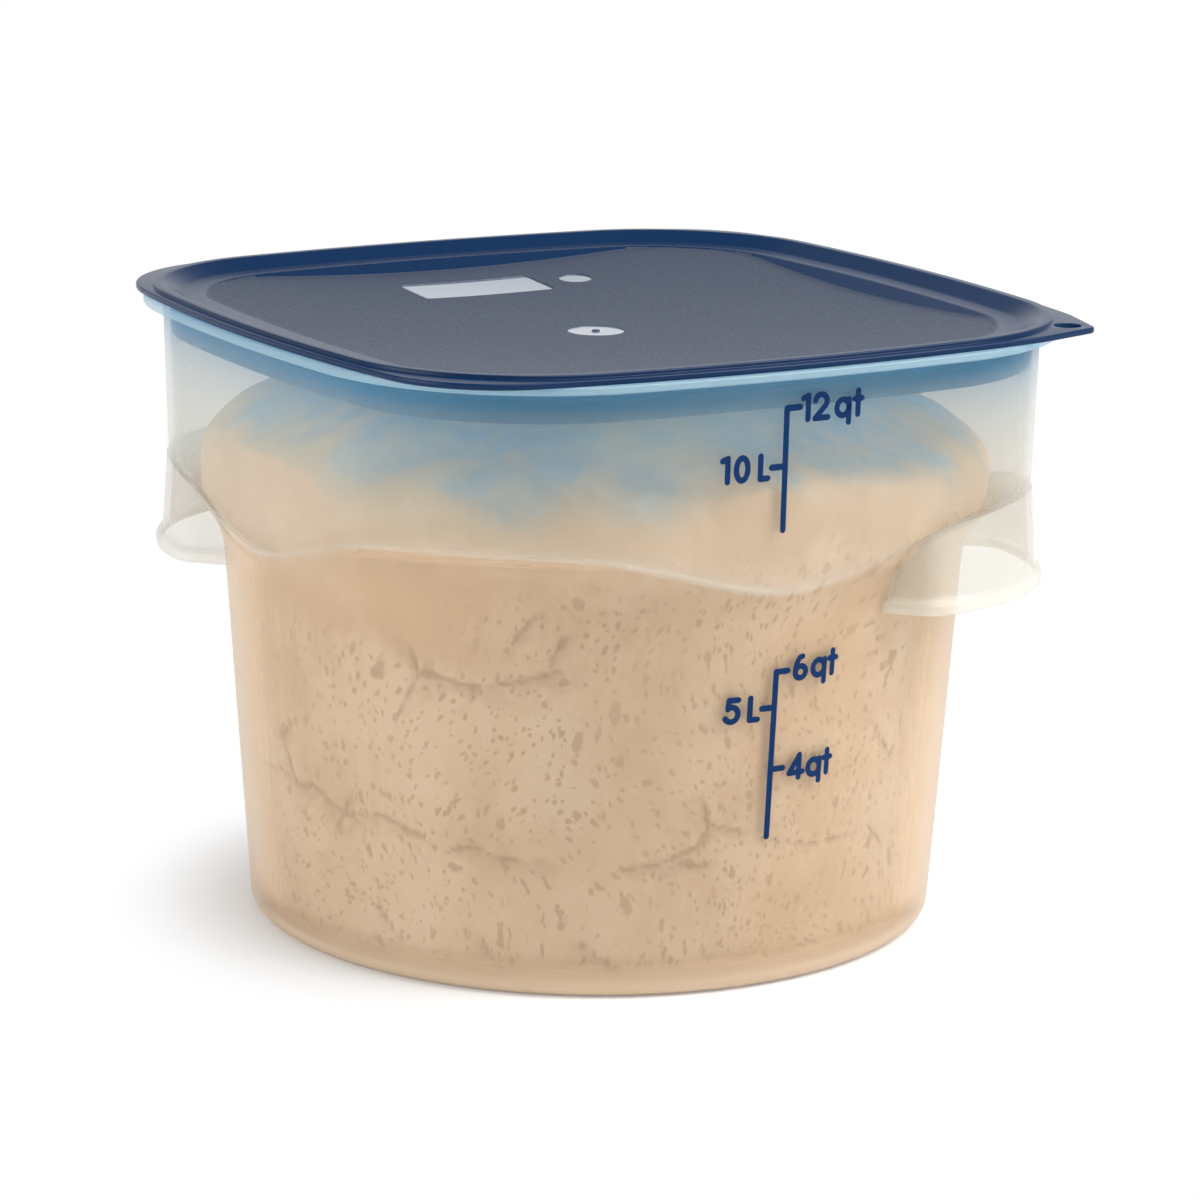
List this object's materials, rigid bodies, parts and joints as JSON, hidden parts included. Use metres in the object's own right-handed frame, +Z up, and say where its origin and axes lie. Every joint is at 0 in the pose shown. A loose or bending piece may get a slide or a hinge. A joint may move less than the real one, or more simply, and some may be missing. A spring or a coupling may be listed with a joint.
{
  "type": "dough proofing container",
  "caption": "Translucent tub with a round body, square mouth and two skirt handles, closed by a press-on lid with a pull tab, for proofing dough and storing food.",
  "frame": {"origin": "on the table, under the middle of the tub's base", "axes": "+Z up, the way the lid lifts off; -Y out of the side that carries the graduations; the handles and the lid's tab lie on the diagonal through +X -Y"},
  "size_m": [0.2908, 0.2908, 0.2244],
  "materials": {
    "tub_plastic": "translucent natural polypropylene, moulded semi-gloss, frosted",
    "lid_plastic": "dark blue polypropylene, fine matte grain on the panel, smooth on the bead and flange"
  },
  "bodies": {
    "tub": {"tub": "tub_plastic"},
    "lid": {"lid": "lid_plastic"}
  },
  "joints": [
    {"name": "lid_lift", "type": "slide", "parent": "tub", "child": "lid", "axis": [0, 0, 1], "range_m": [0, 0.15]}
  ]
}
